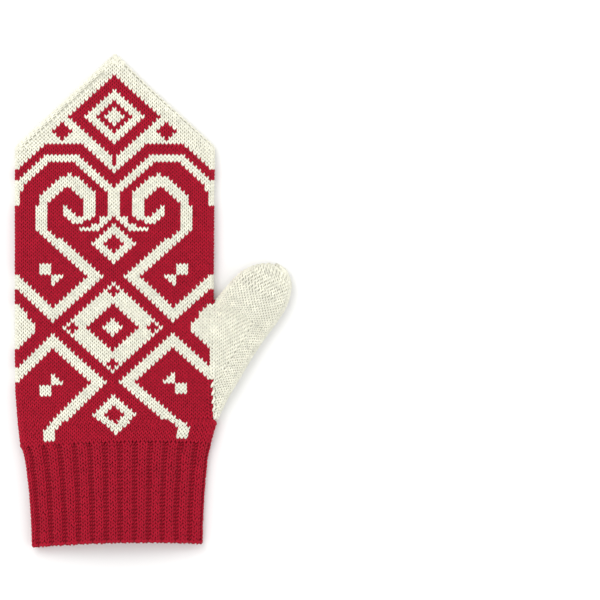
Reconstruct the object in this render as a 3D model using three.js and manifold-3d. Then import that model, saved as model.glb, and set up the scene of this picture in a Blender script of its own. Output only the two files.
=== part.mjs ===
// A knitted mitten for the left hand, lying on its palm side.
// Millimetres. +X is the thumb's side, +Y points to the fingertips, +Z is up.
// The origin is on the surface that it lies on, below the middle of its outline.
//
// Three pieces of one knitted tube: a ribbed cuff, a hand with a pointed top, and a thumb that
// grows out of the hand through a gusset. Each is a wall of knitting with an open hollow inside.

import * as THREE from "three";
import { mergeVertices } from "three/addons/utils/BufferGeometryUtils.js";
import Module from "manifold-3d";

const wasm = await Module();
wasm.setup();

// Knitting
const KNIT_WALL = 2.6;          // two strands carried through plain knitting
const RIB_WALL = 3.0;           // ribbing from its crest to its inner face
const EDGE_HEIGHT = 7.6;        // height of the folded edge, where both layers meet
const FOLD_DEPTH = 3.8;         // how far the fold reaches in from the outline
const FOLD_SHARE = 0.45;        // the most of a narrow section that one fold takes
const SQUARE_CORNER = 0.35;     // corner of an edge that is cut square
const SEAM_GAP = 0.3;           // clearance between two pieces that meet
const CUT_PAST = 4;             // how far a hollow is cut past the mouth that it opens

// Hand
const HAND_BOTTOM = -78.25;     // row where the ribbing ends
const SHOULDER_Y = 84.4;        // where the pointed top begins
const TIP_Y = 134.6;
const JOIN_X = 33.0;            // plane in which the gusset leaves the hand
const JOIN_END_Y = -0.9;        // the square cut ends here, just under the crotch
const TOP_INSET = 3.8;          // the wall of the pointed top, measured across in X
const TOP_BLEND = 3;            // the wall's inset changes this far each side of the shoulder

// Thumb, measured in its own frame: along its axis, and across it
const THUMB_LEAN = THREE.MathUtils.degToRad(33);
const GUSSET_BOTTOM = -64.6;    // Y where the gusset starts on the hand's edge
const CROTCH_Y = 0.6;           // Y where the thumb comes free of the hand
const JOIN_RISE = 4.6;          // how far the join stands above a folded edge
const JOIN_RISE_RUN = 28;       // over this much Y from the gusset's start
const JOIN_FALL_RUN = 17;       // and back over this much Y under the crotch
const JOIN_X_THUMB = JOIN_X + SEAM_GAP;
const GUSSET_END = 18.5;        // distance along the thumb of the crotch
const THUMB_TIP_FROM = 38;      // the dome of the thumb's end
const THUMB_TIP_TO = 51;
const THUMB_TIP_INSET = 3.6;

// The passage from the hand to the thumb
const PASSAGE_INSET = 3.4;      // material left at each end of it, along the hand's edge
const PASSAGE_STEP = 0.8;       // its ends are cut over this length
const PASSAGE_PAST = 6;         // how far both hollows are cut past the join
const OPEN_FROM = -33;          // its extent along the thumb
const OPEN_TO = 15;

// Cuff
const RIB_COUNT = 26;           // knit two, purl two, repeated round the wrist
const RIB_DEPTH = 1.1;
const RIB_PHASE = 0.25;         // first groove right of the middle, in ribs
const RIB_SAMPLES = 8;          // points on each rib
const MOUTH_ARCH = 2.0;         // the mouth's edge stands back in the middle

const CUFF_ROWS = [
  { y: -134.6, left: -66.4, right: 27.1, thick: 15.0 },
  { y: -120.0, left: -66.9, right: 27.4, thick: 15.0 },
  { y: -105.0, left: -68.0, right: 28.2, thick: 15.0 },
  { y: -92.0, left: -69.5, right: 29.4, thick: 15.2 },
  { y: -85.0, left: -70.8, right: 30.2, thick: 15.3 },
  { y: HAND_BOTTOM - SEAM_GAP, left: -73.0, right: 31.8, thick: 15.4 },
];

const HAND_ROWS = [
  { y: HAND_BOTTOM, left: -73.1, right: 31.8, thick: 15.4 },
  { y: -72.0, left: -73.8, right: 33.5, thick: 15.6 },
  { y: -66.1, left: -74.5, right: 35.3, thick: 15.8 },
  { y: GUSSET_BOTTOM, left: -74.6, right: JOIN_X, thick: 15.8 },
  { y: -50.0, left: -75.4, right: JOIN_X, thick: 16.0 },
  { y: -30.0, left: -75.7, right: JOIN_X, thick: 16.0 },
  { y: JOIN_END_Y, left: -75.7, right: JOIN_X, thick: 16.0 },
  { y: CROTCH_Y, left: -75.7, right: 33.3, thick: 16.0 },
  { y: 60.0, left: -75.7, right: 33.5, thick: 16.0 },
  { y: SHOULDER_Y, left: -75.7, right: 33.9, thick: 14.6 },
  { y: 118.0, left: -39.8, right: -2.9, thick: 10.2 },
  { y: TIP_Y, left: -22.4, right: -19.4, thick: 6.6 },
];

// along: distance on the thumb's axis. left, right: its edges, across the axis.
// The left edge of a gusset row is null, because there the gusset meets the hand.
const THUMB_ROWS = [
  { along: -35.9, left: null, right: 65.4, thick: 7.8 },
  { along: -30.0, left: null, right: 64.3, thick: 8.6 },
  { along: -22.0, left: null, right: 63.3, thick: 10.2 },
  { along: -12.0, left: null, right: 62.9, thick: 11.8 },
  { along: 0.0, left: null, right: 62.2, thick: 12.8 },
  { along: 10.0, left: null, right: 62.0, thick: 13.0 },
  { along: 17.4, left: null, right: 62.3, thick: 13.0 },
  { along: GUSSET_END, left: 28.1, right: 62.3, thick: 13.0 },
  { along: 26.0, left: 28.3, right: 62.8, thick: 13.0 },
  { along: 34.0, left: 29.2, right: 62.8, thick: 13.0 },
  { along: 40.0, left: 30.7, right: 61.8, thick: 12.6 },
  { along: 45.0, left: 33.4, right: 60.3, thick: 11.8 },
  { along: 49.0, left: 36.8, right: 58.4, thick: 10.6 },
  { along: 52.5, left: 41.0, right: 55.2, thick: 9.2 },
  { along: 54.6, left: 45.0, right: 51.6, thick: 8.0 },
];

// Points of a section between its corners
const TOP_STEPS = 16;
const BASE_STEPS = 6;
const CORNER_STEPS = 3;

const { lerp, smoothstep, clamp, inverseLerp } = THREE.MathUtils;

// One value of a table at a place between its rows.
function between(rows, key, place, column) {
  const last = rows.length - 1;
  let i = 0;
  while (i < last - 1 && rows[i + 1][key] < place) i += 1;
  const part = clamp(inverseLerp(rows[i][key], rows[i + 1][key], place), 0, 1);
  return lerp(rows[i][column], rows[i + 1][column], part);
}

// Height of the upper layer where the gusset meets the hand, at a given Y.
function joinHeight(y) {
  const rise = smoothstep(y, GUSSET_BOTTOM, GUSSET_BOTTOM + JOIN_RISE_RUN);
  const fall = 1 - smoothstep(y, CROTCH_Y - JOIN_FALL_RUN, CROTCH_Y);
  return EDGE_HEIGHT + JOIN_RISE * rise * fall;
}

// A section of the flattened tube. left and right bound it, and the upper layer swells from its
// two edge heights to its full thickness in the middle.
function upperLayer(section, across) {
  const part = clamp((across - section.left) / (section.right - section.left), 0, 1);
  const edge = part < 0.5 ? section.leftEdge : section.rightEdge;
  return edge + (section.thick - edge) * Math.sin(Math.PI * part);
}

// A quarter of an ellipse from one point to another, without its last point.
function corner(points, cx, cz, rx, rz, startAngle) {
  for (let i = 0; i < CORNER_STEPS; i += 1) {
    const angle = startAngle + (Math.PI / 2) * (i / CORNER_STEPS);
    points.push([cx + rx * Math.cos(angle), cz + rz * Math.sin(angle)]);
  }
}

// The closed outline of a section, from the lower left corner along the base.
// side: inset of the left and right ends. wall: inset of the base and the upper layer.
// A cut end is square, and a folded end is a half ellipse.
function outline(section, side, wall) {
  const left = section.left + side.left;
  const right = section.right - side.right;
  const depth = Math.min(FOLD_DEPTH, (right - left) * FOLD_SHARE);
  const leftHeight = upperLayer(section, left + depth) - 2 * wall;
  const rightHeight = upperLayer(section, right - depth) - 2 * wall;
  const leftX = section.cut === "left" ? SQUARE_CORNER : depth;
  const rightX = section.cut === "right" ? SQUARE_CORNER : depth;
  const leftZ = section.cut === "left" ? SQUARE_CORNER : leftHeight / 2;
  const rightZ = section.cut === "right" ? SQUARE_CORNER : rightHeight / 2;
  const points = [];
  for (let i = 0; i < BASE_STEPS; i += 1) {
    points.push([lerp(left + leftX, right - rightX, i / BASE_STEPS), wall]);
  }
  corner(points, right - rightX, wall + rightZ, rightX, rightZ, -Math.PI / 2);
  points.push([right, wall + rightZ]);
  const rightTop = upperLayer(section, right - rightX) - wall;
  corner(points, right - rightX, rightTop - rightZ, rightX, rightZ, 0);
  for (let i = 0; i < TOP_STEPS; i += 1) {
    const across = lerp(right - rightX, left + leftX, i / TOP_STEPS);
    points.push([across, upperLayer(section, across) - wall]);
  }
  const leftTop = upperLayer(section, left + leftX) - wall;
  corner(points, left + leftX, leftTop - leftZ, leftX, leftZ, Math.PI / 2);
  points.push([left, leftTop - leftZ]);
  corner(points, left + leftX, wall + leftZ, leftX, leftZ, Math.PI);
  return points;
}

// A closed body through rings of equal length, capped at both ends.
function loft(rings) {
  const count = rings[0].length;
  const positions = rings.flat().flatMap((p) => [p.x, p.y, p.z]);
  const index = [];
  for (let r = 0; r < rings.length - 1; r += 1) {
    for (let i = 0; i < count; i += 1) {
      const a = r * count + i;
      const b = r * count + ((i + 1) % count);
      index.push(a, b + count, b, a, a + count, b + count);
    }
  }
  for (const [ring, turned] of [[0, false], [rings.length - 1, true]]) {
    const centre = new THREE.Vector3();
    rings[ring].forEach((p) => centre.addScaledVector(p, 1 / count));
    const hub = positions.length / 3;
    positions.push(centre.x, centre.y, centre.z);
    for (let i = 0; i < count; i += 1) {
      const a = ring * count + i;
      const b = ring * count + ((i + 1) % count);
      index.push(hub, turned ? b : a, turned ? a : b);
    }
  }
  const geometry = new THREE.BufferGeometry();
  geometry.setAttribute("position", new THREE.Float32BufferAttribute(positions, 3));
  geometry.setIndex(index);
  return toSolid(geometry);
}

function toSolid(geometry) {
  const merged = mergeVertices(geometry, 1e-5);
  const triangles = merged.index.array;
  const kept = [];
  for (let i = 0; i < triangles.length; i += 3) {
    const [a, b, c] = [triangles[i], triangles[i + 1], triangles[i + 2]];
    if (a !== b && b !== c && c !== a) kept.push(a, b, c);
  }
  const mesh = new wasm.Mesh({
    numProp: 3,
    vertProperties: new Float32Array(merged.attributes.position.array),
    triVerts: new Uint32Array(kept),
  });
  return new wasm.Manifold(mesh);
}

function toGeometry(solid) {
  const mesh = solid.getMesh();
  const geometry = new THREE.BufferGeometry();
  geometry.setAttribute("position", new THREE.Float32BufferAttribute(mesh.vertProperties, 3));
  geometry.setIndex(new THREE.Uint32BufferAttribute(mesh.triVerts, 1));
  geometry.computeVertexNormals();
  return geometry;
}

function named(name, solid, colour, roughness) {
  const material = new THREE.MeshStandardMaterial({ color: colour, roughness, metalness: 0 });
  const mesh = new THREE.Mesh(toGeometry(solid), material);
  mesh.name = name;
  return mesh;
}

const crossSection = (rows, y, cut) => ({
  left: between(rows, "y", y, "left"),
  right: between(rows, "y", y, "right"),
  thick: between(rows, "y", y, "thick"),
  leftEdge: Math.min(EDGE_HEIGHT, between(rows, "y", y, "thick")),
  rightEdge: Math.min(joinHeight(y), between(rows, "y", y, "thick")),
  cut,
});

const placedAcross = (points, y) => points.map(([x, z]) => new THREE.Vector3(x, y, z));

// The ribbed cuff. Its ribs run round the section at equal distances along its outline.
function ribbedRing(y) {
  const base = outline(crossSection(CUFF_ROWS, y, null), { left: 0, right: 0 }, 0);
  const closed = [...base, base[0]].map(([x, z]) => new THREE.Vector2(x, z));
  const lengths = [0];
  for (let i = 1; i < closed.length; i += 1) {
    lengths.push(lengths[i - 1] + closed[i].distanceTo(closed[i - 1]));
  }
  const round = lengths[lengths.length - 1];
  const at = (place) => {
    const wanted = ((place % round) + round) % round;
    let i = 1;
    while (lengths[i] < wanted) i += 1;
    const part = inverseLerp(lengths[i - 1], lengths[i], wanted);
    return closed[i - 1].clone().lerp(closed[i], part);
  };
  const topIndex = BASE_STEPS + 2 * CORNER_STEPS + 1 + TOP_STEPS / 2;
  const ring = [];
  for (let i = 0; i < RIB_COUNT * RIB_SAMPLES; i += 1) {
    const ribs = i / RIB_SAMPLES;
    const place = lengths[topIndex] - ((ribs + RIB_PHASE) * round) / RIB_COUNT;
    const step = round / RIB_COUNT / RIB_SAMPLES;
    const along = at(place + step).sub(at(place - step)).normalize();
    const inward = RIB_DEPTH * (0.5 + 0.5 * Math.cos(2 * Math.PI * ribs));
    const point = at(place);
    ring.push([point.x - inward * along.y, point.y + inward * along.x]);
  }
  return ring.reverse();
}

function archedMouth(points, row) {
  const middle = (row.left + row.right) / 2;
  const half = (row.right - row.left) / 2;
  return points.map((p) => {
    const part = clamp((p.x - middle) / half, -1, 1);
    return new THREE.Vector3(p.x, p.y + MOUTH_ARCH * (1 - part * part), p.z);
  });
}

function buildCuff() {
  const rings = CUFF_ROWS.map((row) => placedAcross(ribbedRing(row.y), row.y));
  rings[0] = archedMouth(rings[0], CUFF_ROWS[0]);
  const wall = { left: RIB_WALL, right: RIB_WALL };
  const hollow = CUFF_ROWS.map((row, i) => {
    const past = i === 0 ? -CUT_PAST : i === CUFF_ROWS.length - 1 ? CUT_PAST : 0;
    return placedAcross(outline(crossSection(CUFF_ROWS, row.y, null), wall, RIB_WALL), row.y + past);
  });
  return loft(rings).subtract(loft(hollow));
}

// The hand. Its right side is cut square between the gusset's start and the crotch.
function buildHand() {
  const outerY = [
    HAND_BOTTOM, -72, -66.1, GUSSET_BOTTOM, -57, -50, -42, -30, -18, -11, -5, JOIN_END_Y,
    CROTCH_Y, 8, 34, 60, 73, SHOULDER_Y, 92, 101, 110, 118, 125, 130.5, TIP_Y,
  ];
  const outer = outerY.map((y) => {
    const inGusset = y >= GUSSET_BOTTOM && y < CROTCH_Y;
    const section = crossSection(HAND_ROWS, y, inGusset ? "right" : null);
    return placedAcross(outline(section, { left: 0, right: 0 }, 0), y);
  });
  const passageFrom = GUSSET_BOTTOM + PASSAGE_INSET;
  const passageTo = CROTCH_Y - PASSAGE_INSET;
  const innerY = [
    HAND_BOTTOM - CUT_PAST, HAND_BOTTOM, -72, -66, passageFrom - PASSAGE_STEP, passageFrom, -50, -42,
    -30, -18, -11, -6, passageTo, passageTo + PASSAGE_STEP, 8, 34, 60, 73, SHOULDER_Y - KNIT_WALL,
    92, 101, 110, 118, 124, 128.5,
  ];
  const inner = innerY.map((y) => {
    const open = y >= passageFrom && y <= passageTo;
    const pointed = smoothstep(y, SHOULDER_Y - TOP_BLEND, SHOULDER_Y + TOP_BLEND);
    const inset = lerp(KNIT_WALL, TOP_INSET, pointed);
    const side = { left: inset, right: open ? -PASSAGE_PAST : inset };
    const section = crossSection(HAND_ROWS, y, open ? "right" : null);
    return placedAcross(outline(section, side, KNIT_WALL), y);
  });
  return loft(outer).subtract(loft(inner));
}

// The thumb, with the gusset that widens out of the hand.
const along = new THREE.Vector3(Math.sin(THUMB_LEAN), Math.cos(THUMB_LEAN), 0);
const across = new THREE.Vector3(Math.cos(THUMB_LEAN), -Math.sin(THUMB_LEAN), 0);
const acrossAtJoin = (place) => (JOIN_X_THUMB - place * along.x) / across.x;
const FREE_ROWS = THUMB_ROWS.filter((row) => row.left !== null);

function thumbSection(place, cut) {
  const joined = place < GUSSET_END;
  const left = joined ? acrossAtJoin(place) : between(FREE_ROWS, "along", place, "left");
  const thick = between(THUMB_ROWS, "along", place, "thick");
  const joinY = place * along.y + left * across.y;
  return {
    left,
    right: between(THUMB_ROWS, "along", place, "right"),
    thick,
    leftEdge: Math.min(joined ? joinHeight(joinY) : EDGE_HEIGHT, thick),
    rightEdge: Math.min(EDGE_HEIGHT, thick),
    cut,
  };
}

const placedOnThumb = (points, place) => points.map(([w, z]) => (
  new THREE.Vector3().addScaledVector(along, place).addScaledVector(across, w).setZ(z)));

function buildThumb() {
  const outer = THUMB_ROWS.map((row) => {
    const joined = row.along < GUSSET_END;
    const points = outline(thumbSection(row.along, joined ? "left" : null), { left: 0, right: 0 }, 0);
    return placedOnThumb(points, row.along);
  });
  const innerPlaces = [OPEN_FROM, -22, -12, 0, 10, OPEN_TO, OPEN_TO + 1, 26, 34, 40, 45, 48.5, 51];
  const inner = innerPlaces.map((place) => {
    const open = place <= OPEN_TO;
    const inset = lerp(KNIT_WALL, THUMB_TIP_INSET, smoothstep(place, THUMB_TIP_FROM, THUMB_TIP_TO));
    const side = { left: open ? -PASSAGE_PAST : inset, right: inset };
    return placedOnThumb(outline(thumbSection(place, open ? "left" : null), side, KNIT_WALL), place);
  });
  return loft(outer).subtract(loft(inner));
}

const mitten = new THREE.Group();
mitten.add(named("cuff", buildCuff(), 0xa91c33, 0.9));
mitten.add(named("hand", buildHand(), 0xb02038, 0.9));
mitten.add(named("thumb", buildThumb(), 0xe9e7d6, 0.9));

export default mitten;
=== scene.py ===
"""A stranded wool mitten with a ribbed cuff, a pointed top and a gusset thumb.

Every stitch that shows is a small piece of yarn, laid on the mitten's surface row by row, over
thin inner walls. Lengths in the tables and constants are millimetres.
"""

import math

import bmesh
import bpy
import numpy as np
from bpy.props import FloatProperty, FloatVectorProperty, PointerProperty
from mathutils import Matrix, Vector


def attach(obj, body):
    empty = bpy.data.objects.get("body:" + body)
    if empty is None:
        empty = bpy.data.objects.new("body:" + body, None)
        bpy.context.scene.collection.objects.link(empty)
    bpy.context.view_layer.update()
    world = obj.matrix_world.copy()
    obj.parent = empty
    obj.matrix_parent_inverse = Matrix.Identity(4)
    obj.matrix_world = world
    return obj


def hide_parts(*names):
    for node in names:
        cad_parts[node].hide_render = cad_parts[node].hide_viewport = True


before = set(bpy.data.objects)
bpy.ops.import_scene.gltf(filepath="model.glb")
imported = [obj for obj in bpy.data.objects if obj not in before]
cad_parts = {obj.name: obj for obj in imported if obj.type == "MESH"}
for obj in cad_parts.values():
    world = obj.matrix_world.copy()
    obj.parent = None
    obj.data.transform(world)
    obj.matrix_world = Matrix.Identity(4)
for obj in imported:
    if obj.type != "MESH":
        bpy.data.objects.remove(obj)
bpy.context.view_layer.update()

bl_info = {
    "name": "Stranded Mitten",
    "version": (1, 0, 0),
    "blender": (4, 5, 0),
    "location": "View3D > Sidebar > Mitten",
    "description": "Knits a colour-work mitten stitch by stitch",
    "category": "Mesh",
}

MM = 0.001


def table(columns, *rows):
    """Rows of values, each with the names of its columns."""
    return [dict(zip(columns.split(), row)) for row in rows]


# Gauge of the knitting
COLUMN_PITCH = 2.2
ROW_PITCH = 1.9895
ROW_ZERO_Y = -36.45
PATTERN_X = -21.2  # middle column of the pattern
ROUND = 104  # columns round the hand
LEFT_FOLD = -25.9  # columns from the pattern's middle to the middle of each fold
RIGHT_FOLD = 26.1
BACK_MIDDLE = 52  # middle column of the back's pattern, counted round
HALF_PATTERN = 24  # columns on each side of the pattern's middle
FIRST_ROW = -20
SHOULDER_ROW = 60
TOP_ROW = 86

# Flattened section of the tube
FOLD_DEPTH = 3.8  # how far in a fold's curve reaches
FOLD_SHARE = 0.45  # at most this share of the width
EDGE_HEIGHT = 7.6  # of the upper layer beside a fold
FOLD_STEPS = 9
FLAT_STEPS = 30

# Hand
SHOULDER_Y = 84.4
TIP_Y = 134.6
JOIN_X = 33.0  # where the gusset meets the hand
GUSSET_BOTTOM = -64.6
CROTCH_Y = 0.6
JOIN_RISE = 4.6
LAST_SLANTED_ROW = -4  # up to here long slanting stitches edge the gusset
LAST_JOIN_ROW = 17  # and up to here a cream wale does
JOIN_EDGE = 24.2  # where that wale starts, counted in columns
JOIN_RISE_RUN = 28
JOIN_FALL_RUN = 17
JOIN_COLUMN = 25.1  # where the gusset leaves the front, counted in columns
BACK_JOIN_COLUMN = 27.4  # and where it meets the back

HAND_ROWS = table(
    "y left right thick",
    (-78.25, -73.1, 31.8, 15.4),
    (-72.0, -73.8, 33.5, 15.6),
    (-66.1, -74.5, 35.3, 15.8),
    (-64.6, -74.6, 33.0, 15.8),
    (-50.0, -75.7, 33.0, 16.0),
    (-30.0, -76.0, 33.0, 16.0),
    (-0.9, -76.0, 33.0, 16.0),
    (0.6, -76.0, 33.3, 16.0),
    (60.0, -76.0, 33.7, 16.0),
    (SHOULDER_Y, -75.9, 34.1, 14.6),
    (118.0, -39.8, -2.9, 10.2),
    (TIP_Y, -22.4, -19.4, 6.6),
)

# Pointed top
SLOPE_WALE = 2.26  # pitch of the wales along its edges, measured across in X
SLOPE_SHEAR = 0.5  # how far a row drops from the edge inwards
SLOPE_WALES = {"front": (3, 1), "back": (2, 2)}  # how many, at the left edge and the right
LEFT_BAND = 4.6  # width of the front's left band, measured across in X
RIGHT_BAND = 0.9
BACK_BAND = 2.6
BAND_MARGIN = 0.4  # between a band and the straight columns
TIP_PITCH = 1.7  # stitches at the point
TIP_ROW = 1.75
TIP_NARROWING = 0.12  # share of their width that each row loses
TIP_DROP = 4  # from the point down to the first of them

# Cuff
CUFF_ROWS = table(
    "y left right thick",
    (-134.6, -66.7, 27.2, 15.0),
    (-120.0, -67.2, 27.5, 15.0),
    (-105.0, -68.3, 28.3, 15.0),
    (-92.0, -69.8, 29.5, 15.2),
    (-85.0, -70.8, 30.2, 15.3),
    (-78.55, -73.0, 31.8, 15.4),
)
MOUTH_Y = -132.4  # the mouth's edge in the middle of the cuff
CUFF_TOP_Y = -77.3
CUFF_COURSES = 28
RIB_COUNT = 26
RIB_PHASE = 0.25
RIB_DEPTH = 1.15
RIB_SAMPLES = 16
RIB_WALL_STEPS = 8  # wall cells to a rib
RIB_SLACK = 0.045  # how far the ribs' stitches stray, in cells
GROOVE_SIDE = (0.1, 0.3)  # where a groove rises to its ribs, in ribs from its middle
PURL_HALF = 0.17  # half of a groove's width, in ribs
EDGE_LOOPS = 4  # cast-on loops to a rib
EDGE_COURSE = 0.3  # where they lie, in courses from the mouth
EDGE_DEPTH = 1.25  # from their outer chain to the inner one

# How the fabric lies a little askew towards the wrist
TILT = 0.023  # rise per millimetre to the right
TILT_LEFT = (-46, 20)  # Y over which it fades out, left of the pattern's middle
TILT_RIGHT = (-75, -25)
ARCH = 1.9  # drop of the side edges at the wrist
ARCH_HALF_WIDTH = 52.0
ARCH_FADE = (-77, -62)

# Thumb, along its own axis and across it
THUMB_LEAN = math.radians(33)
AT_JOIN = 0.001  # a distance from the join that is no distance
JOIN_LAP = 0.3  # how far the gusset's first wale reaches over its neighbour
BRIDGE = 0.7  # how far the hand's cream wale reaches over the join
BRIDGE_RISE = 0.1
BRIDGE_START = -43.0  # where that wale starts, along Y
GUSSET_START = -35.9
GUSSET_END = 18.5
GUSSET_ROWS = 33
THUMB_LENGTH = 54.0
THUMB_ROWS = table(
    "along left right thick",
    (-35.9, 63.4, 65.4, 7.8),
    (-30.0, 59.2, 64.5, 8.6),
    (-22.0, 54.0, 63.6, 10.2),
    (-12.0, 47.5, 63.3, 11.8),
    (0.0, 39.7, 62.7, 12.8),
    (10.0, 33.2, 62.6, 13.0),
    (17.4, 28.4, 62.9, 13.0),
    (GUSSET_END, 28.1, 62.9, 13.0),
    (26.0, 28.8, 63.5, 13.0),
    (34.0, 30.0, 63.6, 13.0),
    (40.0, 31.5, 62.7, 12.6),
    (45.0, 34.2, 61.1, 11.8),
    (49.0, 37.6, 59.0, 10.6),
    (52.2, 41.8, 55.6, 9.2),
    (54.0, 45.4, 52.0, 8.0),
)
STRIP_COLUMNS = 11  # wales that follow the gusset's outer edge
WALL_START = 2  # first row of the gusset with an inner wall
END_SHARE = 0.24  # width of the stitches over the thumb's end, as a share of it
END_BULGE = 0.3
THUMB_END_Y = 16.0  # beyond this only the thumb's end is open
THUMB_WALL_STEPS = 18  # wall cells across each layer
ROW_BOW = 0.09  # how far a gusset row bows up, as a share of its length
BOW_FADE = 4  # rows before and after the gusset's end in which it straightens

# The long slanting stitches at the gusset's foot
LONG_COUNT = 5
LONG_X = 34.1  # the lowest one
LONG_Y = -63.4
LONG_INWARD = 1.5  # how far further in the highest one lies
LONG_PITCH = 4.4
LONG_LIFT = 0.5
LONG_HALF_WIDTH = 1.1
LONG_HALF_LENGTH = 1.0

# Depths under the outer surface
WALL_TOP = 1.0
WALL_THICKNESS = 1.6

# Photograph's frame
PIXEL = 0.5473  # millimetres to a pixel
IMAGE_SIZE = 600
PHOTO_CENTRE_X = 80.4
PHOTO_CENTRE_Y = 0.4
CAMERA_HEIGHT = 8000.0
SHARP_HEIGHT = 10.0  # height above the floor at which the scale holds
SENSOR = 36.0

# Stage, in metres
FLOOR_HALF = 2.5
FLOOR_DROP = 0.0004
LIGHTS = table(
    "name x y z power size",
    ("key", -0.6, 0.7, 1.5, 1.0, 1.1),
    ("fill", 0.9, -0.3, 1.2, 0.15, 1.0),
)

SEED = 7


def smoothstep(value, low, high):
    part = np.clip((value - low) / (high - low), 0, 1)
    return part * part * (3 - 2 * part)


def column_of(rows, key, place, name):
    """One column of a table, at places between its rows."""
    return np.interp(place, [row[key] for row in rows], [row[name] for row in rows])


# The pattern

def is_cream(column, row):
    """Whether a stitch of the pattern is cream. Column 0 is the middle, and both sides match."""
    a = abs(column)
    red_top = min(53 + a, 61, 78 - a)
    cream_top = min(49 + a, 58, 75 - a)
    if row > red_top:
        return top_motif(a, row)
    if row > cream_top:
        return False
    arch_bottom = {23: 49, 24: 45}.get(a, min(47 + a, 57, 73 - a))
    if row >= arch_bottom:
        return True
    return curl(a, row) or lattice(a, row) or middle_diamond(a, row) or small_motifs(a, row)


def top_motif(a, row):
    """Nested diamonds and two small ones in the cream point."""
    ring = a + abs(row - 69)
    if ring in (3, 4) or 8 <= ring <= 11:
        return False
    if a == 0 and row in (56, 57):
        return False
    return abs(a - 13) + abs(row - 65) > 2


def curl(a, row):
    """One of the two scrolls that face each other, with the stem between them."""
    if a <= 1 and 42 <= row <= 49:
        return True
    hook = {41: (1, 3), 40: (2, 3), 39: (3, 5), 38: (4, 8)}
    if row in hook and hook[row][0] <= a <= hook[row][1]:
        return True
    if a < 5 or a > 19 or row < 38:
        return False
    step = abs(a - 11)
    crown = 44 if a == 19 else 53 - max(min(step, 1), step - 1)
    if row > crown:
        return False
    if a <= 7:
        return row >= 42 or (a >= 6 and row == 41)
    if a >= 17 or row > 49.5 - abs(a - 11.5):
        return True
    return a <= 12 and max(40, a + 30) <= row <= max(41, a + 32)


def lattice(a, row):
    """The crossing bands that run down the hand."""
    if row == 37:
        return 16 <= a <= 18
    if row == 36:
        return 15 <= a <= 17
    if 26 <= row <= 35:
        return row - 22 <= a <= row - 19
    if 13 <= row <= 25:
        return row - 16 <= abs(a - 15) <= row - 13
    if -3 <= row <= 9:
        return 6 - row <= abs(a - 15) <= 9 - row
    if -14 <= row <= -4:
        return -row - 2 <= a <= -row + 1
    feet = {-15: (14, 16), -16: (15, 17), -17: (16, 18), -18: (16, 18), -19: (16, 18)}
    return row in feet and feet[row][0] <= a <= feet[row][1]


def middle_diamond(a, row):
    """The large diamond with a small one in it, and the half diamonds at the sides."""
    ring = a + abs(row - 11)
    if ring <= 2:
        return True
    if 7 <= ring <= 12:
        dots = ((0, 21), (0, 1), (10, 11))
        return all(abs(a - x) + abs(row - y) > 1 for x, y in dots)
    if 10 <= row <= 17:
        return a >= 20 + max(0, round((row - 12) * 0.8))
    return 6 <= row <= 9 and a >= 30 - row


def small_motifs(a, row):
    if any(3 <= a + abs(row - middle) <= 5 for middle in (34, -13)):
        return True
    if 16 <= a <= 18 and (26 <= row <= 28 or -7 <= row <= -5):
        return True
    if 23 <= row <= 25:
        return 38 - row <= a <= 15
    return -4 <= row <= -2 and 17 + row <= a <= 15


def cream_mask(columns, rows):
    """is_cream for arrays. The few columns at a fold take the colour of the pattern's edge."""
    a = np.minimum(np.abs(columns), HALF_PATTERN)
    return np.array([is_cream(*place) for place in zip(a.tolist(), rows.tolist())])


# Sections of the flattened tube

def make_section(left, right, thick, left_edge, right_edge):
    return {"left": left, "right": right, "thick": thick,
            "left_edge": min(left_edge, thick), "right_edge": min(right_edge, thick)}


def swell(section, x):
    """Height of the upper layer over the surface that the mitten lies on."""
    part = np.clip((x - section["left"]) / (section["right"] - section["left"]), 0, 1)
    edge = np.where(part < 0.5, section["left_edge"], section["right_edge"])
    return edge + (section["thick"] - edge) * np.sin(np.pi * part)


def layer_path(section, upper, cut_left=False, cut_right=False):
    """One layer of a section, from the middle of its left fold to that of its right fold."""
    left, right = section["left"], section["right"]
    depth = min(FOLD_DEPTH, (right - left) * FOLD_SHARE)
    turn = np.linspace(0, np.pi / 2, FOLD_STEPS)
    side = 1 if upper else -1
    first = left if cut_left else left + depth
    last = right if cut_right else right - depth
    x = [np.linspace(first, last, FLAT_STEPS)]
    z = [swell(section, x[0]) if upper else np.zeros(FLAT_STEPS)]
    if not cut_left:
        half = swell(section, left + depth) / 2
        x.insert(0, (left + depth - depth * np.cos(turn))[:-1])
        z.insert(0, (half * (1 + side * np.sin(turn)))[:-1])
    if not cut_right:
        half = swell(section, right - depth) / 2
        x.append((right - depth + depth * np.sin(turn))[1:])
        z.append((half * (1 + side * np.cos(turn)))[1:])
    return np.concatenate(x), np.concatenate(z)


def walk(x, z, shares):
    """Points at equal shares of a path's length, and that length."""
    lengths = np.concatenate([[0], np.cumsum(np.hypot(np.diff(x), np.diff(z)))])
    places = np.asarray(shares) * lengths[-1]
    return np.interp(places, lengths, x), np.interp(places, lengths, z), lengths[-1]


def settled(x, y):
    """Where a row lies at x, when its middle is at y."""
    away = x - PATTERN_X
    low = 1 - np.where(away < 0, smoothstep(y, *TILT_LEFT), smoothstep(y, *TILT_RIGHT))
    wrist = 1 - smoothstep(y, *ARCH_FADE)
    return y + TILT * away * low - ARCH * (away / ARCH_HALF_WIDTH) ** 2 * wrist


def join_height(y):
    rise = smoothstep(y, GUSSET_BOTTOM, GUSSET_BOTTOM + JOIN_RISE_RUN)
    fall = 1 - smoothstep(y, CROTCH_Y - JOIN_FALL_RUN, CROTCH_Y)
    return EDGE_HEIGHT + JOIN_RISE * rise * fall


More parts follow.
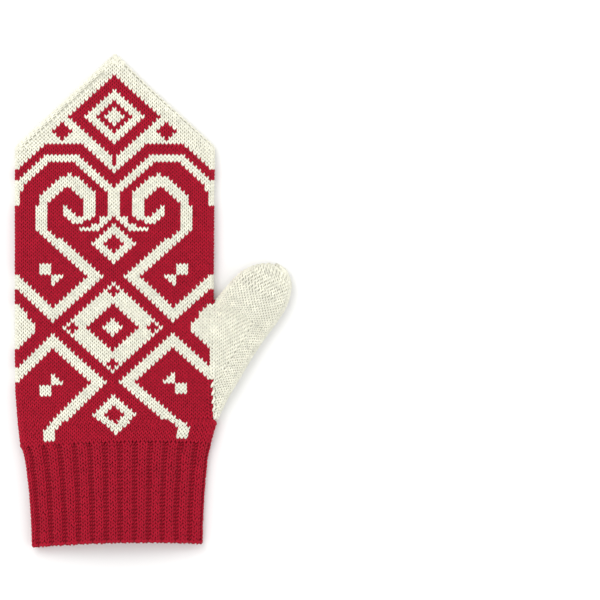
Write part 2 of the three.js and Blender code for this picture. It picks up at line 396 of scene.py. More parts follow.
def bilinear(grid, across, down):
    """Points of a grid at fractional places. down picks its rows, and across its columns."""
    rows, columns = grid.shape[:2]
    across = np.clip(across, 0, columns - 1)
    down = np.clip(down, 0, rows - 1)
    i = np.minimum(down.astype(int), rows - 2)
    j = np.minimum(across.astype(int), columns - 2)
    s = (across - j)[..., None]
    t = (down - i)[..., None]
    near = grid[i, j] * (1 - s) + grid[i, j + 1] * s
    far = grid[i + 1, j] * (1 - s) + grid[i + 1, j + 1] * s
    return near * (1 - t) + far * t


def row_y(row):
    return ROW_ZERO_Y + ROW_PITCH * row


def tube_section(rows, y, y_right, right_edge):
    """Section of the hand or the cuff in the row whose middle is at y."""
    y_left = settled(rows[0]["left"], y)
    return make_section(
        column_of(rows, "y", y_left, "left"), column_of(rows, "y", y_right, "right"),
        column_of(rows, "y", y, "thick"), EDGE_HEIGHT, right_edge)


class HandSurface:
    """The hand's outer surface by column, counted round from the left fold, and row."""

    STEP = 0.5

    def __init__(self):
        self.first = FIRST_ROW - 0.5
        rows = np.arange(self.first, TOP_ROW + 0.26, self.STEP)
        columns = LEFT_FOLD + np.arange(0, ROUND + 0.1, self.STEP)
        self.grid = np.stack([self.loop(row_y(row), columns) for row in rows])

    def loop(self, y, columns):
        y_right = settled(JOIN_X, y)
        section = tube_section(HAND_ROWS, y, y_right, join_height(y_right))
        joined = GUSSET_BOTTOM <= y_right < CROTCH_Y
        front_end = JOIN_COLUMN if joined else RIGHT_FOLD
        back_start = BACK_JOIN_COLUMN if joined else RIGHT_FOLD
        top = layer_path(section, True, cut_right=joined)
        base = layer_path(section, False, cut_right=joined)
        front = columns <= front_end
        back = columns >= back_start
        x = np.full(len(columns), section["right"])
        z = np.zeros(len(columns))
        shares = (columns[front] - LEFT_FOLD) / (front_end - LEFT_FOLD)
        x[front], z[front], _ = walk(*top, shares)
        end = LEFT_FOLD + ROUND
        x[back], z[back], _ = walk(*base, (end - columns[back]) / (end - back_start))
        side = ~front & ~back
        z[side] = top[1][-1] * (back_start - columns[side]) / (back_start - front_end)
        return np.stack([x, settled(x, y), z], axis=1)

    def at(self, column, row):
        across = np.mod(column - LEFT_FOLD, ROUND) / self.STEP
        return bilinear(self.grid, across, (row - self.first) / self.STEP)


class CuffSurface:
    """The cuff's outer surface by rib, counted round from the front's middle, and course."""

    def __init__(self):
        ribs = np.arange(RIB_COUNT * RIB_SAMPLES + 1) / RIB_SAMPLES
        courses = np.arange(CUFF_COURSES + 1)
        self.grid = np.stack([self.loop(course, ribs) for course in courses])

    def loop(self, course, ribs):
        y = MOUTH_Y + (CUFF_TOP_Y - MOUTH_Y) * course / CUFF_COURSES
        y_right = settled(CUFF_ROWS[0]["right"], y)
        section = tube_section(CUFF_ROWS, y, y_right, EDGE_HEIGHT)
        top_x, top_z = layer_path(section, True)
        base_x, base_z = layer_path(section, False)
        x = np.concatenate([top_x, base_x[::-1][1:]])
        z = np.concatenate([top_z, base_z[::-1][1:]])
        top_length, length = walk(top_x, top_z, [0])[2], walk(x, z, [0])[2]
        shares = np.mod(top_length / 2 / length + (ribs + RIB_PHASE) / RIB_COUNT, 1)
        px, pz, _ = walk(x, z, shares)
        quarter = 0.25 / RIB_COUNT
        ahead = walk(x, z, np.mod(shares + quarter, 1))
        behind = walk(x, z, np.mod(shares - quarter, 1))
        tx, tz = ahead[0] - behind[0], ahead[1] - behind[1]
        size = np.hypot(tx, tz)
        from_groove = np.abs(np.mod(ribs + 0.5, 1) - 0.5)
        inward = RIB_DEPTH * (1 - smoothstep(from_groove, *GROOVE_SIDE))
        px += inward * tz / size
        pz -= inward * tx / size
        return np.stack([px, settled(px, y), pz], axis=1)

    def at(self, rib, course):
        return bilinear(self.grid, np.mod(rib, RIB_COUNT) * RIB_SAMPLES, course)


class ThumbSurface:
    """The thumb's outer surface by distance from the middle of its outer fold, and row.

    Distances are positive on the upper layer, and negative on the lower one.
    """

    STEP = 0.5
    SAMPLES = 48

    def __init__(self):
        self.along_axis = np.array([math.sin(THUMB_LEAN), math.cos(THUMB_LEAN), 0])
        self.across_axis = np.array([math.cos(THUMB_LEAN), -math.sin(THUMB_LEAN), 0])
        self.gusset_pitch = (GUSSET_END - GUSSET_START) / GUSSET_ROWS
        self.last_row = GUSSET_ROWS + (THUMB_LENGTH - GUSSET_END) / ROW_PITCH
        self.rows = np.append(np.arange(0, self.last_row, self.STEP), self.last_row)
        layers = [self.layer(upper) for upper in (True, False)]
        self.grids = [grid for grid, _ in layers]
        self.lengths = [np.array(lengths) for _, lengths in layers]

    def along(self, row):
        gusset = GUSSET_START + self.gusset_pitch * np.minimum(row, GUSSET_ROWS)
        return gusset + ROW_PITCH * np.maximum(row - GUSSET_ROWS, 0)

    def section(self, row):
        along = float(self.along(row))
        joined = row < GUSSET_ROWS - 0.1
        left = column_of(THUMB_ROWS, "along", along, "left")
        thick = column_of(THUMB_ROWS, "along", along, "thick")
        left_edge = EDGE_HEIGHT
        if joined:
            left = (JOIN_X - along * self.along_axis[0]) / self.across_axis[0]
            left_edge = join_height(along * self.along_axis[1] + left * self.across_axis[1])
        right = column_of(THUMB_ROWS, "along", along, "right")
        made = make_section(left, right, thick, left_edge, EDGE_HEIGHT)
        if joined:
            made["left_edge"] = left_edge
        return made, joined, along

    def layer(self, upper):
        """Points by row and share of the layer's length, from the outer fold to the inner edge."""
        rings, lengths = [], []
        shares = np.linspace(0, 1, self.SAMPLES + 1)
        for row in self.rows:
            section, joined, along = self.section(row)
            x, z = layer_path(section, upper, cut_left=joined)
            w, z, length = walk(x[::-1], z[::-1], shares)
            bow = ROW_BOW * length * 4 * shares * (1 - shares)
            bow *= 1 - smoothstep(row, GUSSET_ROWS - BOW_FADE, GUSSET_ROWS + BOW_FADE)
            points = (along + bow)[:, None] * self.along_axis + w[:, None] * self.across_axis
            points[:, 2] = z
            rings.append(points)
            lengths.append(length)
        return np.stack(rings), lengths

    def length(self, row, upper):
        return np.interp(row, self.rows, self.lengths[0 if upper else 1])

    def at(self, distance, row):
        distance, row = np.broadcast_arrays(distance, row)
        place = np.interp(row, self.rows, np.arange(len(self.rows)))
        out = np.zeros(distance.shape + (3,))
        for layer, chosen in ((0, distance >= 0), (1, distance < 0)):
            lengths = np.interp(row, self.rows, self.lengths[layer])
            share = np.abs(distance) / lengths * self.SAMPLES
            out[chosen] = bilinear(self.grids[layer], share[chosen], place[chosen])
        return out


# The pointed top: straight columns inside, and wales along its sloping edges

def edge_of(y, right):
    return column_of(HAND_ROWS, "y", y, "right" if right else "left")


def top_heights(y):
    """Fold depth and height of the upper layer at the folds of the pointed top."""
    left, right = edge_of(y, False), edge_of(y, True)
    thick = column_of(HAND_ROWS, "y", y, "thick")
    depth = np.minimum(FOLD_DEPTH, (right - left) * FOLD_SHARE)
    edge = np.minimum(EDGE_HEIGHT, thick)
    at_fold = edge + (thick - edge) * np.sin(np.pi * depth / (right - left))
    return left, right, thick, edge, depth, at_fold


def top_surface(x, y, upper):
    """A point of the pointed top over a place on the table."""
    left, right, thick, edge, depth, at_fold = top_heights(y)
    inset = np.clip(np.minimum(x - left, right - x), 0, None)
    crown = edge + (thick - edge) * np.sin(np.pi * np.clip((x - left) / (right - left), 0, 1))
    turn = np.sqrt(1 - (1 - np.clip(inset / depth, 0, 1)) ** 2)
    side = 1 if upper else -1
    folded = at_fold / 2 * (1 + side * turn)
    flat = crown if upper else np.zeros_like(crown)
    return np.stack([x, y, np.where(inset < depth, folded, flat)], axis=-1)


def slope_surface(wale, row, right, upper):
    """A point beside the sloping edge: wales in from the edge, and row along it."""
    middle = row_y(row)
    _, _, _, _, depth, at_fold = top_heights(middle)
    reach = wale * SLOPE_WALE
    quarter = np.pi / 2 * (depth + at_fold / 2) / 2
    angle = np.clip(reach / quarter, 0, 1) * np.pi / 2
    inset = depth * (1 - np.cos(angle)) + np.clip(reach - quarter, 0, None)
    y = middle - SLOPE_SHEAR * inset
    sign = -1 if right else 1
    x = edge_of(y, right) + sign * inset
    side = 1 if upper else -1
    return np.stack([x, y, at_fold / 2 * (1 + side * np.sin(angle))], axis=-1)


def crossed(columns, rows):
    """Every column with every row, as two flat arrays."""
    return [part.ravel().astype(float) for part in np.meshgrid(columns, rows)]


def quads(place, across, down, half=0.5):
    """The four corners of stitch cells, from a function that places columns and rows."""
    return np.stack([place(across + aside, down + up)
                     for up in (-0.5, 0.5) for aside in (-half, half)], axis=1)


# Yarn

YARN_ROUND = 0.9  # height of the yarn's section over its width
PLIES = 2
TWIST = 1.1  # turns of the plies from one station to the next
SLACK = 0.02  # how far a stitch strays from its cell, in cells
WIDTH_SPREAD = 0.02  # how far stitches differ in width, as a share of it
HEIGHT_SPREAD = 0.03  # and in height, in millimetres

LEG = table(
    "x y h r",
    (0.03, -0.72, -1.00, 0.13),
    (0.14, -0.32, -0.42, 0.205),
    (0.32, 0.22, -0.32, 0.215),
    (0.44, 0.66, -0.92, 0.15),
)
RIB_LEG = table(
    "x y h r",
    (0.06, -0.72, -0.66, 0.14),
    (0.15, -0.32, -0.06, 0.20),
    (0.31, 0.20, 0.02, 0.21),
    (0.42, 0.68, -0.58, 0.15),
)
PURL = table(
    "x y h r",
    (-0.58, -0.44, -1.15, 0.25),
    (-0.22, 0.00, -0.75, 0.30),
    (0.22, 0.22, -0.75, 0.30),
    (0.58, -0.08, -1.15, 0.25),
)
LONG_LEG = table(
    "x y h r",
    (-0.33, -0.80, -0.55, 0.20),
    (-0.12, -0.30, -0.15, 0.34),
    (0.14, 0.28, -0.15, 0.34),
    (0.33, 0.80, -0.60, 0.20),
)
EDGE_CHAIN = table(
    "x y h r",
    (-0.60, -0.02, -0.90, 0.20),
    (-0.22, 0.12, -0.66, 0.32),
    (0.22, 0.12, -0.66, 0.32),
    (0.60, 0.26, -0.90, 0.20),
)


def straight_bar(sides, stations):
    """A closed bar of unit radius, with a ring of points at each station along Z."""
    bm = bmesh.new()
    bmesh.ops.create_cone(bm, cap_ends=True, segments=sides, radius1=1, radius2=1,
                          depth=stations - 1)
    bmesh.ops.translate(bm, verts=bm.verts, vec=(0, 0, (stations - 1) / 2))
    for station in range(1, stations - 1):
        geometry = bm.verts[:] + bm.edges[:] + bm.faces[:]
        bmesh.ops.bisect_plane(bm, geom=geometry, plane_co=(0, 0, station), plane_no=(0, 0, 1))
    bmesh.ops.reverse_faces(bm, faces=bm.faces)
    bm.verts.index_update()
    points = np.array([vert.co[:] for vert in bm.verts])
    faces = [[loop.vert.index for loop in face.loops] for face in bm.faces]
    bm.free()
    return points, faces


def unit(vectors):
    return vectors / np.maximum(np.linalg.norm(vectors, axis=-1, keepdims=True), 1e-9)


class Template:
    """One stitch of yarn in cell units: columns across, rows up, millimetres high."""

    def __init__(self, strands, sides):
        points, faces = straight_bar(sides, len(strands[0]))
        station = np.round(points[:, 2]).astype(int)
        angle = np.arctan2(points[:, 1], points[:, 0])
        cell = np.array([COLUMN_PITCH, ROW_PITCH, 1])
        placed, self.faces, uv = [], [], []
        for strand in strands:
            stops = np.array([[stop[key] for key in "xyhr"] for stop in strand])
            centre = stops[:, :3] * cell
            along = unit(np.gradient(centre, axis=0))
            side = unit(np.cross(along, (0, 0, 1)))
            up = np.cross(side, along) * YARN_ROUND
            around = (np.cos(angle)[:, None] * side[station] + np.sin(angle)[:, None] * up[station])
            radius = stops[station, 3:] * COLUMN_PITCH
            start = len(placed) * len(points)
            placed.append((centre[station] + radius * around) / cell)
            self.faces += [[start + v for v in face] for face in faces]
            uv += [self.face_uv(face, angle, station) for face in faces]
        self.x, self.y, self.h = np.concatenate(placed).T
        self.uv = np.concatenate(uv)

    @staticmethod
    def face_uv(face, angle, station):
        turns = np.mod(angle[face] / (2 * np.pi), 1)
        if len(face) == 4 and turns.max() - turns.min() > 0.5:
            turns = np.where(turns < 0.5, turns + 1, turns)
        return np.stack([turns, station[face].astype(float)], axis=1)


def mirrored(strand):
    return [{**stop, "x": -stop["x"]} for stop in strand]


def knit_stitch(leg, sides):
    return Template([leg, mirrored(leg)], sides)


def lay_yarn(name, cells, template, material, rng, slack=SLACK):
    """A piece made of copies of a stitch, one laid in each cell."""
    count, size = len(cells), len(template.x)
    wider = 1 + rng.normal(0, WIDTH_SPREAD, (count, 1))
    x = template.x * wider + rng.normal(0, slack, (count, 1))
    y = template.y + rng.normal(0, slack, (count, 1))
    h = template.h + rng.normal(0, HEIGHT_SPREAD, (count, 1))
    weights = np.stack([(0.5 - x) * (0.5 - y), (0.5 + x) * (0.5 - y),
                        (0.5 - x) * (0.5 + y), (0.5 + x) * (0.5 + y)], axis=2)
    across = cells[:, 1] + cells[:, 3] - cells[:, 0] - cells[:, 2]
    upward = cells[:, 2] + cells[:, 3] - cells[:, 0] - cells[:, 1]
    normal = unit(np.cross(across, upward))
    points = weights @ cells + h[..., None] * normal[:, None, :]
    points[..., 2] = np.maximum(points[..., 2], 0)
    mesh = mesh_from_copies(name, points, template)
    tone = mesh.attributes.new("tone", "FLOAT", "POINT")
    tone.data.foreach_set("value", np.repeat(rng.normal(0, 1, count), size).astype(np.float32))
    return add_piece(name, mesh, material)


def mesh_from_copies(name, points, template):
    """One mesh from the points of every copy, with the template's faces and UVs."""
    count, size = points.shape[:2]
    corners = np.concatenate(template.faces)
    face_sizes = np.array([len(face) for face in template.faces])
    starts = np.concatenate([[0], np.cumsum(face_sizes)[:-1]])
    shift = np.arange(count)[:, None]
    mesh = bpy.data.meshes.new(name)
    mesh.vertices.add(count * size)
    mesh.vertices.foreach_set("co", (points * MM).astype(np.float32).ravel())
    mesh.loops.add(count * len(corners))
    mesh.loops.foreach_set("vertex_index", (corners + shift * size).astype(np.int32).ravel())
    mesh.polygons.add(count * len(face_sizes))
    loop_starts = starts + shift * len(corners)
    mesh.polygons.foreach_set("loop_start", loop_starts.astype(np.int32).ravel())
    mesh.polygons.foreach_set("use_smooth", np.ones(count * len(face_sizes), bool))
    uv = mesh.uv_layers.new(name="UVMap")
    uv.data.foreach_set("uv", np.tile(template.uv, (count, 1)).astype(np.float32).ravel())
    mesh.update(calc_edges=True)
    mesh.validate()
    return mesh


def linked(name, data):
    """An object in the scene, with its data."""
    made = bpy.data.objects.new(name, data)
    bpy.context.scene.collection.objects.link(made)
    return made


def add_piece(name, mesh, material):
    piece = linked(name, mesh)
    mesh.materials.append(material)
    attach(piece, "root")
    return piece


# Inner walls

def wall_grid(bm, place, across, down, closed, cream):
    """Adds a sheet of wall cells under a surface. across and down are cell boundaries."""
    made = bmesh.ops.create_grid(bm, x_segments=len(across) - 1, y_segments=len(down) - 1, size=1)
    verts = made["verts"]
    i = np.round([(v.co.x + 1) / 2 * (len(across) - 1) for v in verts]).astype(int)
    j = np.round([(v.co.y + 1) / 2 * (len(down) - 1) for v in verts]).astype(int)
    u, v = across[i], down[j]
    step = 0.3
    tangent = place(u + step, v) - place(u - step, v)
    rise = place(u, np.minimum(v + step, down[-1])) - place(u, np.maximum(v - step, down[0]))
    points = place(u, v) - WALL_TOP * unit(np.cross(tangent, rise))
    points[:, 2] = np.maximum(points[:, 2], WALL_TOP / 2)
    for vert, point in zip(verts, points):
        vert.co = point * MM
    layer = bm.faces.layers.float.get("cream") or bm.faces.layers.float.new("cream")
    faces = {face for vert in verts for face in vert.link_faces}
    place_of = {vert: (a, b) for vert, a, b in zip(verts, u, v)}
    for face in faces:
        spots = np.array([place_of[vert] for vert in face.verts])
        face[layer] = cream(*spots.mean(axis=0))
    if closed:
        bmesh.ops.remove_doubles(bm, verts=verts, dist=MM * 0.01)


def finish_wall(name, bm, material, node):
    bmesh.ops.recalc_face_normals(bm, faces=bm.faces)
    mesh = bpy.data.meshes.new(name)
    bm.to_mesh(mesh)
    bm.free()
    mesh.shade_smooth()
    piece = add_piece(name, mesh, material)
    thicken = piece.modifiers.new("Wall", "SOLIDIFY")
    thicken.thickness = WALL_THICKNESS * MM
    thicken.offset = -1
    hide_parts(node)
    return piece


def close_ring(bm, y_above):
    """Closes the open end of a wall beyond a place, given in metres along Y."""
    rim = [edge for edge in bm.edges if edge.is_boundary
           and all(vert.co.y > y_above for vert in edge.verts)]
    bmesh.ops.holes_fill(bm, edges=rim, sides=0)


# Finishes

class Value:
    """A socket of a material's nodes, which can be used in sums."""

    def __init__(self, finish, socket):
        self.finish = finish
        self.socket = socket

    def math(self, operation, first, second=0.0):
        return self.finish.node("ShaderNodeMath", {"operation": operation}, {0: first, 1: second})

    def __add__(self, other):
        return self.math("ADD", self, other)

    def __sub__(self, other):
        return self.math("SUBTRACT", self, other)

    def __mul__(self, other):
        return self.math("MULTIPLY", self, other)

    def sine(self):
        return self.math("SINE", self)

    __radd__ = __add__
    __rmul__ = __mul__


class Finish:
    """Builds the nodes of one material."""

    def __init__(self, name, roughness, sheen, shine=0.5):
        self.material = bpy.data.materials.new(name)
        self.material.use_nodes = True
        self.tree = self.material.node_tree
        self.shader = self.tree.nodes["Principled BSDF"]
        for key, value in (("Roughness", roughness), ("Sheen Weight", sheen),
                           ("Sheen Roughness", 0.5), ("Specular IOR Level", shine)):
            self.shader.inputs[key].default_value = value

    def feed(self, socket, value):
        if isinstance(value, Value):
            self.tree.links.new(value.socket, socket)
        else:
            socket.default_value = value

    def node(self, kind, settings=None, inputs=None, output=0):
        node = self.tree.nodes.new(kind)
        for key, value in (settings or {}).items():
            setattr(node, key, value)
        for key, value in (inputs or {}).items():
            self.feed(node.inputs[key], value)
        return Value(self, node.outputs[output])

    def attribute(self, name):
        return self.node("ShaderNodeAttribute", {"attribute_name": name}, output="Fac")

    def noise(self, scale, detail):
        where = self.node("ShaderNodeTexCoord", output="Object")
        return self.node("ShaderNodeTexNoise", None,
                         {"Vector": where, "Scale": scale, "Detail": detail})

    def uv_parts(self):
        """Turns round a strand, and stations along it."""
        uv = self.node("ShaderNodeUVMap", {"uv_map": "UVMap"})
        parts = self.node("ShaderNodeSeparateXYZ", None, {0: uv}).socket.node
        return Value(self, parts.outputs[0]), Value(self, parts.outputs[1])

    def mix(self, share, first, second):
        return self.node("ShaderNodeMix", {"data_type": "RGBA"}, {0: share, 6: first, 7: second},
                         output=2)

    def bump(self, height, distance, strength=1.0):
        normal = self.node("ShaderNodeBump", None,
                           {"Strength": strength, "Distance": distance, "Height": height})
        self.feed(self.shader.inputs["Normal"], normal)

    def colour(self, value):
        self.feed(self.shader.inputs["Base Color"], value)


def rgba(colour, gain=1.0):
    return (*(part * gain for part in colour), 1.0)


def yarn_finish(name, colour, variation, sheen):
    """Two-ply wool: each stitch a little lighter or darker, plies and fibres in low relief, and
    painted shade darkening the colour in the grooves between the plies.
    """
    finish = Finish(name, roughness=0.9, sheen=sheen, shine=0.1)
    tone = finish.attribute("tone")
    cloudy = finish.noise(scale=90, detail=3) - 0.5
    fibre = finish.noise(scale=2600, detail=4) - 0.5
    turns, along = finish.uv_parts()
    ply = ((PLIES * turns + TWIST * along) * (2 * math.pi)).sine()
    # ply * 0.12 is painted shade: the colour darkens where the ply bump sinks between the plies
    share = 0.5 + tone * variation + cloudy * 0.22 + fibre * 0.7 + ply * 0.12
    finish.colour(finish.mix(share, rgba(colour, 0.78), rgba(colour, 1.14)))
    finish.bump(ply * 0.5 + fibre * 1.2, distance=0.00012, strength=0.6)
    return finish.material


def wall_finish(name, red, cream):
    """The knitting under the outer strands, in the pattern's colours but in shade."""
    finish = Finish(name, roughness=0.95, sheen=0.02, shine=0.1)
    strands = finish.noise(scale=700, detail=3)
    share = finish.attribute("cream")
    deep = finish.mix(share, rgba(red, 0.55), rgba(cream, 0.55))
    light = finish.mix(share, rgba(red, 0.8), rgba(cream, 0.8))
    finish.colour(finish.mix(strands, deep, light))
    finish.bump(strands, distance=0.0003, strength=0.5)
    return finish.material


def floor_finish():
    finish = Finish("pale_floor", roughness=0.85, sheen=0.0)
    tint = finish.noise(scale=3, detail=2)
    finish.colour(finish.mix(tint, (0.90, 0.90, 0.895, 1), (0.92, 0.92, 0.915, 1)))
    return finish.material


class MittenYarn(bpy.types.PropertyGroup):
    """Colours of the wool."""

    red: FloatVectorProperty(
        name="Red", description="Main colour of the hand", subtype="COLOR",
        default=(0.435, 0.0088, 0.030), min=0, max=1)
    rib_red: FloatVectorProperty(
        name="Rib red", description="Colour of the ribbed cuff", subtype="COLOR",
        default=(0.425, 0.0086, 0.029), min=0, max=1)
    cream: FloatVectorProperty(
        name="Cream", description="Colour of the pattern and the thumb", subtype="COLOR",
        default=(0.90, 0.888, 0.765), min=0, max=1)
    variation: FloatProperty(
        name="Variation", description="How far stitches differ in tone", default=0.12,
        min=0, max=1, subtype="FACTOR")
    fuzz: FloatProperty(
        name="Fuzz", description="Soft glow of the wool's fibres", default=0.04,
        min=0, max=1, subtype="FACTOR")


class MittenLight(bpy.types.PropertyGroup):
    """The studio."""

    key_power: FloatProperty(
        name="Key", description="Power of the large light at the upper left", default=11.6,
        min=0, unit="POWER")
    surround: FloatProperty(
        name="Surround", description="Brightness of the white surround", default=0.935, min=0)


WOOLS = {"red": "red_wool", "rib_red": "rib_wool", "cream": "cream_wool"}


def wool(yarn, colour):
    """The yarn of one colour, made for the first piece that asks for it."""
    name = WOOLS[colour]
    made = bpy.data.materials.get(name)
    return made or yarn_finish(name, tuple(getattr(yarn, colour)), yarn.variation, yarn.fuzz)


def wall_wool(yarn):
    made = bpy.data.materials.get("wall_wool")
    return made or wall_finish("wall_wool", tuple(yarn.red), tuple(yarn.cream))


def chart_column(column):
    """The pattern's column for a column counted round the hand."""
    return np.where(column < RIGHT_FOLD, column, column - BACK_MIDDLE)


class MITTEN_OT_hand(bpy.types.Operator):
    """Knits the hand: its inner wall, and every stitch of both faces"""

    bl_idname = "mitten.hand"
    bl_label = "Hand"

    def execute(self, context):
        yarn = context.scene.mitten_yarn
        surface = HandSurface()
        self.add_wall(yarn, surface)
        rng = np.random.default_rng(SEED)
        for face, sides in (("front", 5), ("back", 4)):
            cells, cream, low = self.face_cells(surface, face == "front")
            template = knit_stitch(LEG, sides)
            for colour, chosen in (("cream", cream), ("red", ~cream)):
                material = wool(yarn, colour)
                for part, half in (("lower", low), ("upper", ~low)):
                    lay_yarn(f"{colour}_stitches_{face}_{part}", cells[chosen & half], template,
                             material, rng)
        return {"FINISHED"}

    def face_cells(self, surface, front):
        """Cells of one face, whether each is cream, and whether it is in the lower half."""
        first = math.floor(LEFT_FOLD if front else RIGHT_FOLD) + 1
        columns, rows = crossed(np.arange(first, first + ROUND // 2),
                                np.arange(FIRST_ROW, SHOULDER_ROW + 1))
        edge_y = settled(JOIN_X, row_y(rows))
        joined = (edge_y > GUSSET_BOTTOM) & (edge_y < CROTCH_Y)
        kept = ~(joined & (columns > HALF_PATTERN) & (columns < BACK_JOIN_COLUMN))
        columns, rows, joined = columns[kept], rows[kept], joined[kept]
        slanted = rows <= LAST_SLANTED_ROW
        end = np.where(slanted, JOIN_COLUMN, JOIN_EDGE)

        def place(column, row):
            last = joined & (columns == HALF_PATTERN) & (column > columns)
            return surface.at(np.where(last, end, column), row)

        parts = [(quads(place, columns, rows), chart_column(columns), rows)]
        if front:
            beside = rows[joined & ~slanted & (columns == HALF_PATTERN)]
            middle = np.full(len(beside), (JOIN_EDGE + JOIN_COLUMN) / 2)
            bridge = quads(surface.at, middle, beside, (JOIN_COLUMN - JOIN_EDGE) / 2)
            bridge[:, (1, 3)] += (BRIDGE, 0, BRIDGE_RISE)
            charted_rows = np.where(beside <= LAST_JOIN_ROW, TOP_ROW, FIRST_ROW)
            parts.append((bridge, beside * 0, charted_rows))
        parts += [self.top_cells(front), self.slope_cells(front), self.tip_cells(front)]
        cells, columns, rows = (np.concatenate(kind) for kind in zip(*parts))
        return cells, cream_mask(columns, rows), cells[:, 0, 1] < 0

    def top_cells(self, front):
        """The straight columns of the pointed top, cut off by the bands at its edges."""
        columns, rows = crossed(np.arange(-HALF_PATTERN, HALF_PATTERN + 1),
                                np.arange(SHOULDER_ROW + 1, TOP_ROW))
        x = PATTERN_X + COLUMN_PITCH * columns
        y = row_y(rows)
        left_band, right_band = (LEFT_BAND, RIGHT_BAND) if front else (BACK_BAND, BACK_BAND)
        kept = ((x > edge_of(y, False) + left_band + BAND_MARGIN)
                & (x < edge_of(y, True) - right_band - BAND_MARGIN))
        columns, rows = columns[kept], rows[kept]
        sign = 1 if front else -1

        def place(column, row):
            return top_surface(PATTERN_X + sign * COLUMN_PITCH * column, row_y(row), front)

        return quads(place, sign * columns, rows), columns, rows

    def tip_cells(self, front):
        """The last few stitches, drawn together at the point."""
        sign = 1 if front else -1
        middle = (edge_of(TIP_Y, False) + edge_of(TIP_Y, True)) / 2

        def place(column, row):
            narrow = TIP_PITCH * (1 - TIP_NARROWING * row)
            y = TIP_Y - TIP_DROP + TIP_ROW * row
            return top_surface(middle + sign * narrow * column, y, front)

        return self.all_cream(quads(place, *crossed([-0.5, 0.5], [0.0, 1.0, 2.0])))

    def slope_cells(self, front):
        """The wales that follow the sloping edges of the pointed top."""
        cells = []
        for right, count in enumerate(SLOPE_WALES["front" if front else "back"]):
            wales, rows = crossed(np.arange(count) + 0.5, np.arange(SHOULDER_ROW + 1, TOP_ROW))
            outward = 1 if right == front else -1

            def place(wale, row, right=right, outward=outward):
                return slope_surface(np.clip(-outward * wale, 0, None), row, right, front)

            cells.append(quads(place, -outward * wales, rows))
        return self.all_cream(np.concatenate(cells))

    @staticmethod
    def all_cream(cells):
        """Cells with a cream place of the pattern for each."""
        return cells, np.zeros(len(cells)), np.full(len(cells), TOP_ROW)

    def add_wall(self, yarn, surface):
        """The inner wall. Its side is open where the gusset joins."""
        bm = bmesh.new()
        columns = LEFT_FOLD + np.arange(ROUND + 1.0)
        rows = np.arange(FIRST_ROW, TOP_ROW + 1) - 0.5

        def cream(column, row):
            charted = chart_column(column)
            if row >= SHOULDER_ROW:
                x = surface.at(np.array([column]), np.array([row]))[0, 0]
                charted = (x - PATTERN_X) / COLUMN_PITCH
            return float(cream_mask(np.round([charted]), np.round([row]))[0])

        wall_grid(bm, surface.at, columns, rows, True, cream)
        close_ring(bm, (TIP_Y - TIP_DROP) * MM)
        finish_wall("hand_wall", bm, wall_wool(yarn), "hand")


class MITTEN_OT_cuff(bpy.types.Operator):
    """Knits the cuff: knit ribs, purl grooves and the cast-on edge over its inner wall"""

    bl_idname = "mitten.cuff"
    bl_label = "Cuff"

    def execute(self, context):
        yarn = context.scene.mitten_yarn
        surface = CuffSurface()
        rng = np.random.default_rng(SEED + 1)
        material = wool(yarn, "rib_red")
        knit_width = 0.5 - PURL_HALF
        knit_middles = np.array([0.5 - knit_width / 2, 0.5 + knit_width / 2])
        purl_middles = np.array([-PURL_HALF / 2, PURL_HALF / 2])
        for name, middles, width, template in (
                ("cuff_knit_ribs", knit_middles, knit_width, knit_stitch(RIB_LEG, 5)),
                ("cuff_purl_grooves", purl_middles, PURL_HALF, Template([PURL], 5))):
            ribs = (np.arange(RIB_COUNT)[:, None] + middles).ravel()

            def place(cell, row, width=width):
                return surface.at(cell * width, row)

            cells = quads(place, *crossed(ribs / width, np.arange(CUFF_COURSES) + 0.5))
            lay_yarn(name, cells, template, material, rng, RIB_SLACK)
        self.add_edge(surface, material, rng)
        self.add_wall(yarn, surface)
        return {"FINISHED"}

    def add_edge(self, surface, material, rng):
        """The cast-on loops round the mouth."""
        course = np.array([0, (CUFF_TOP_Y - MOUTH_Y) / CUFF_COURSES, 0])

        def place(loop, row):
            below = np.minimum(row, 0)[..., None] * course
            return surface.at(loop / EDGE_LOOPS, np.maximum(row, 0)) + below

        cells = quads(place, *crossed(np.arange(RIB_COUNT * EDGE_LOOPS) + 0.5, EDGE_COURSE))
        inner = [{**stop, "h": stop["h"] - EDGE_DEPTH} for stop in EDGE_CHAIN]
        lay_yarn("cast_on_edge", cells, Template([EDGE_CHAIN, inner], 6), material, rng)

    def add_wall(self, yarn, surface):
        bm = bmesh.new()
        ribs = np.arange(RIB_COUNT * RIB_WALL_STEPS + 1) / RIB_WALL_STEPS
        courses = np.arange(CUFF_COURSES + 1.0)
        wall_grid(bm, surface.at, ribs, courses, True, lambda rib, course: 0.0)
        finish_wall("cuff_wall", bm, wall_wool(yarn), "cuff")


